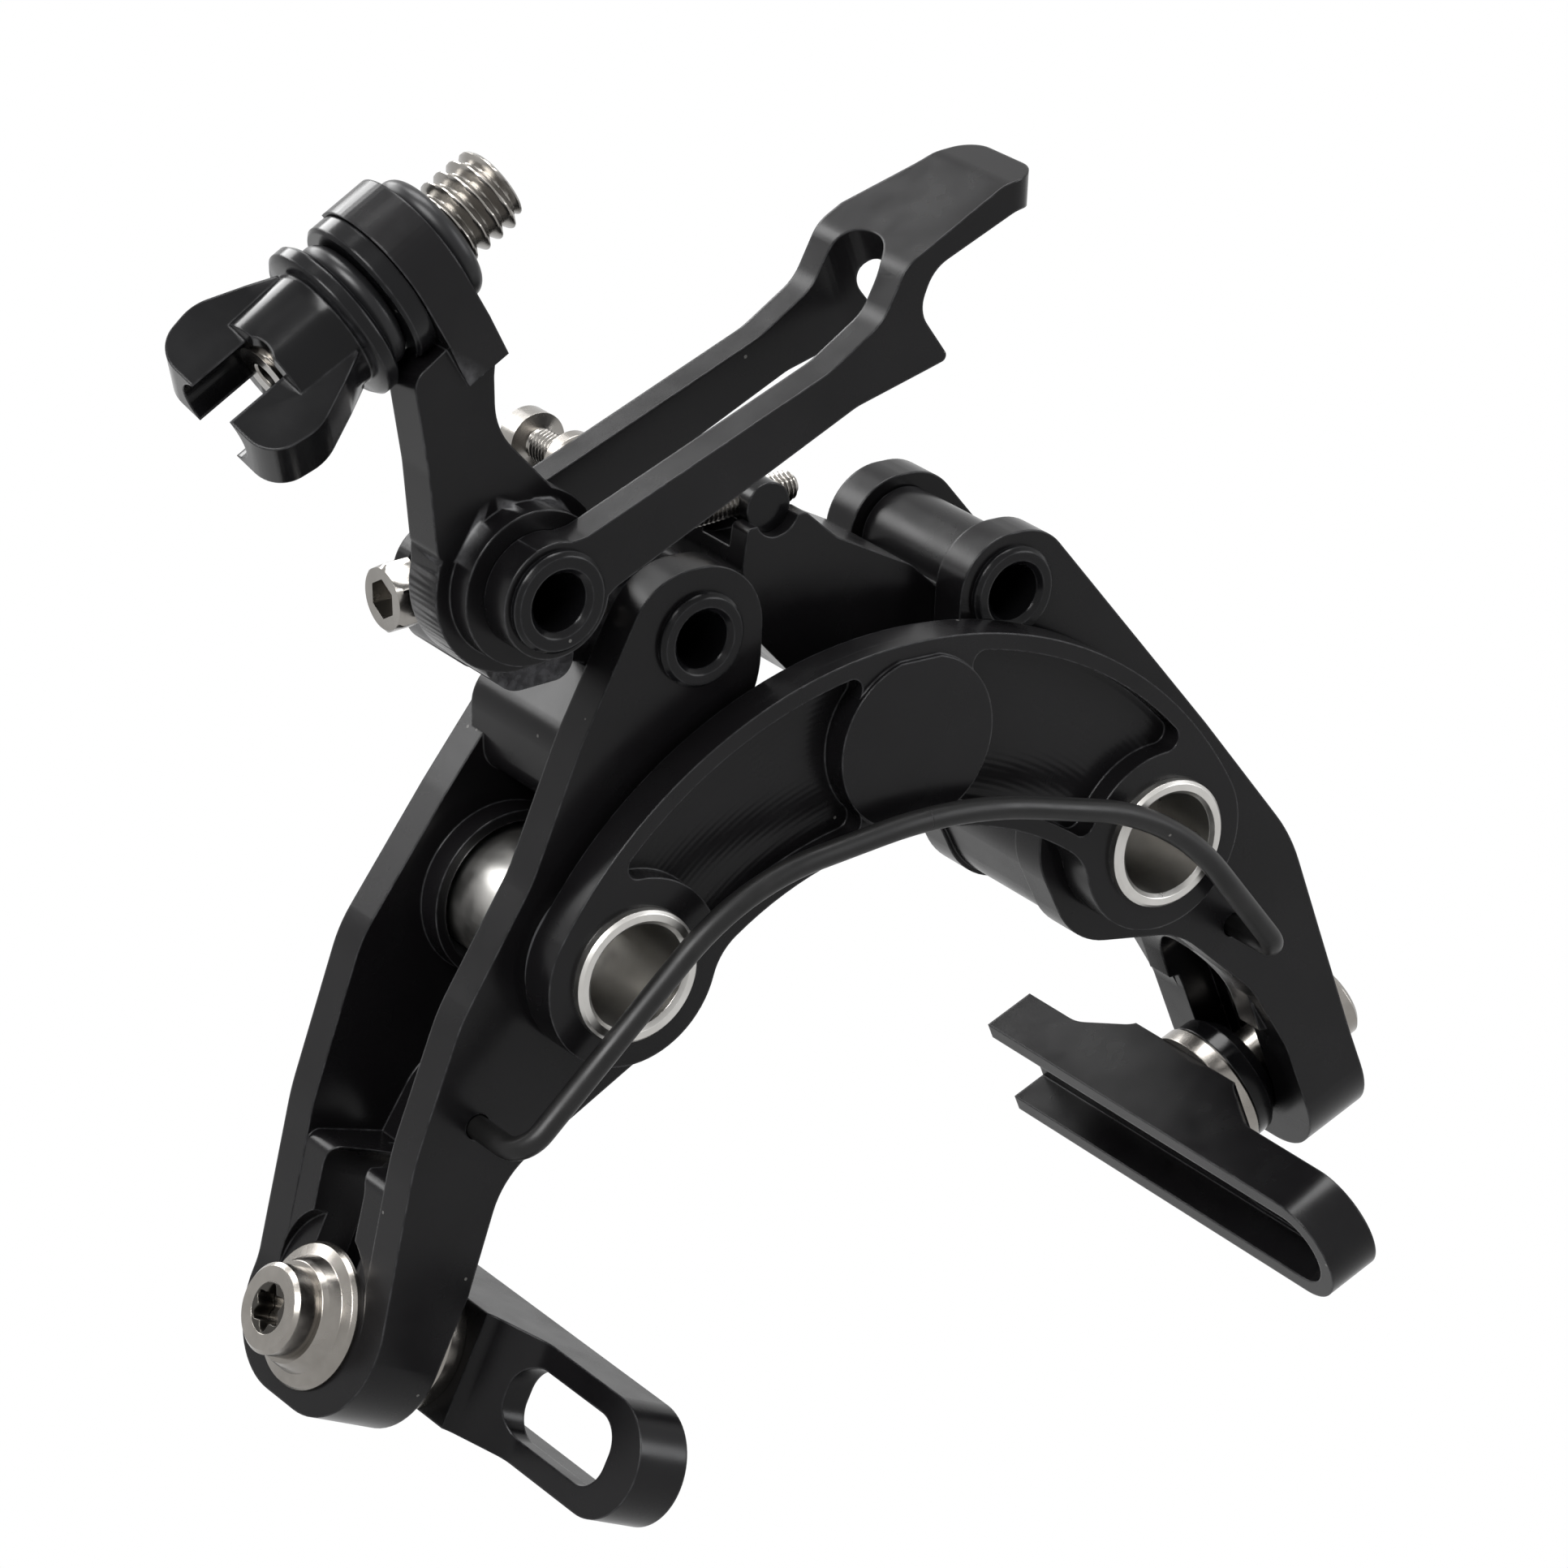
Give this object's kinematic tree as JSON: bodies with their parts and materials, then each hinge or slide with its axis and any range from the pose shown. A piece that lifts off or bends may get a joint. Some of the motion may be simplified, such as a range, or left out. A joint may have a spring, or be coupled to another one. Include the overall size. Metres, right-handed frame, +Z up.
{
  "type": "caliper brake",
  "caption": "Direct-mount road caliper brake with toggle linkage, quick-release lever, barrel adjuster and open pad holders.",
  "frame": {"origin": "on the mounting face against the frame, midway between the two frame bolts", "axes": "+X across the wheel towards the saddle-link arm, +Y from the brake into the frame along the bolts, +Z up towards the cable"},
  "size_m": [0.1444, 0.054, 0.1297],
  "materials": {
    "black_anodised": "black anodised, satin",
    "bare_aluminium": "turned, bare",
    "black_spring": "black coated wire",
    "bush_plastic": "plain bearing plastic",
    "black_pin": "black anodised, glossy",
    "steel": "polished stainless steel",
    "black_knob": "black plastic",
    "rubber_ring": "black rubber"
  },
  "bodies": {
    "bridge": {"bridge_plate": "black_anodised", "left_sleeve": "bare_aluminium", "right_sleeve": "bare_aluminium", "return_spring": "black_spring"},
    "left_arm": {"left_arm": "black_anodised", "left_front_bush": "bush_plastic", "left_rear_bush": "bush_plastic", "clevis_pin": "black_pin"},
    "right_arm": {"right_arm": "black_anodised", "right_front_bush": "bush_plastic", "right_rear_bush": "bush_plastic", "saddle_pin": "black_pin"},
    "crank": {"stop_arm": "black_anodised", "stop_dowel": "steel", "lever_pin": "black_pin", "upper_ring": "rubber_ring", "stop_washer": "black_knob"},
    "saddle": {"saddle_link": "black_anodised"},
    "trunnion": {"trunnion": "black_pin"},
    "swivel": {"screw_swivel": "black_pin"},
    "screw": {"adjusting_screw": "steel"},
    "lever": {"quick_release_lever": "black_anodised", "anchor_bolt": "steel", "anchor_washer": "steel"},
    "knob": {"adjuster_knob": "black_knob", "lower_ring": "rubber_ring"},
    "barrel": {"adjuster_barrel": "steel"},
    "left_pad_bolt": {"left_pad_bolt": "steel", "left_bell_washer": "steel", "left_dished_washer": "black_pin", "left_ring_washer": "steel"},
    "right_pad_bolt": {"right_pad_bolt": "steel", "right_bell_washer": "steel", "right_dished_washer": "black_pin", "right_ring_washer": "steel"},
    "left_holder": {"left_pad_holder": "black_anodised"},
    "right_holder": {"right_pad_holder": "black_anodised"}
  },
  "joints": [
    {"name": "left_arm_pivot", "type": "hinge", "parent": "bridge", "child": "left_arm", "pos_m": [-0.031, -0.013, 0], "axis": [0, -1, 0], "range_deg": [0, 4], "stiffness_Nm_per_rad": 0.35, "springref_deg": -20.05, "deforming": ["return_spring"]},
    {"name": "right_arm_pivot", "type": "hinge", "parent": "bridge", "child": "right_arm", "pos_m": [0.031, -0.013, 0], "axis": [0, 1, 0], "range_deg": [0, 4.02], "deforming": ["return_spring"]},
    {"name": "crank_pivot", "type": "hinge", "parent": "left_arm", "child": "crank", "pos_m": [-0.0216, -0.013, 0.0297], "axis": [0, 1, 0], "range_deg": [0, 28.08]},
    {"name": "saddle_pivot", "type": "hinge", "parent": "right_arm", "child": "saddle", "pos_m": [0.0142, -0.013, 0.0276], "axis": [0, -1, 0], "range_deg": [0, 4.02]},
    {"name": "trunnion_pivot", "type": "hinge", "parent": "saddle", "child": "trunnion", "pos_m": [-0.0103, -0.015, 0.0386], "axis": [0, 1, 0], "range_deg": [0, 13.43]},
    {"name": "swivel_pivot", "type": "hinge", "parent": "crank", "child": "swivel", "pos_m": [-0.0422, -0.015, 0.03645], "axis": [0, -1, 0], "range_deg": [0, 10.67]},
    {"name": "screw_turn", "type": "hinge", "parent": "swivel", "child": "screw", "pos_m": [-0.0422, -0.015, 0.03645], "axis": [0.9977, 0, 0.0672], "continuous": true},
    {"name": "lever_pivot", "type": "hinge", "parent": "crank", "child": "lever", "pos_m": [-0.0438, -0.013, 0.0409], "axis": [0, -1, 0], "range_deg": [0, 40]},
    {"name": "knob_turn", "type": "hinge", "parent": "crank", "child": "knob", "pos_m": [-0.06035, -0.021, 0.06525], "axis": [0.8526, 0, 0.5225], "range_deg": [-361, 361]},
    {"name": "barrel_travel", "type": "slide", "parent": "crank", "child": "barrel", "axis": [0.8526, 0, 0.5225], "range_m": [-0.0015, 0.0015]},
    {"name": "left_pad_height", "type": "slide", "parent": "left_arm", "child": "left_pad_bolt", "axis": [0.4067, 0, 0.9135], "range_m": [-0.001, 0.0025]},
    {"name": "right_pad_height", "type": "slide", "parent": "right_arm", "child": "right_pad_bolt", "axis": [-0.4067, 0, 0.9135], "range_m": [-0.001, 0.0025]},
    {"name": "left_pad_angle", "type": "hinge", "parent": "left_pad_bolt", "child": "left_holder", "pos_m": [-0.0517, -0.013, -0.03785], "axis": [0.9135, 0, -0.4067], "range_deg": [-10, 10]},
    {"name": "right_pad_angle", "type": "hinge", "parent": "right_pad_bolt", "child": "right_holder", "pos_m": [0.06, -0.013, -0.0354], "axis": [-0.9135, 0, -0.4067], "range_deg": [-10, 10]}
  ],
  "couplings": [
    {"joint": "right_arm_pivot", "follows": "left_arm_pivot", "ratio": 1},
    {"joint": "crank_pivot", "follows": "left_arm_pivot", "ratio": 7.014},
    {"joint": "saddle_pivot", "follows": "left_arm_pivot", "ratio": 1},
    {"joint": "trunnion_pivot", "follows": "left_arm_pivot", "ratio": 3.352},
    {"joint": "swivel_pivot", "follows": "left_arm_pivot", "ratio": 2.662},
    {"joint": "knob_turn", "follows": "barrel_travel", "rad_per_m": -4188.8}
  ]
}
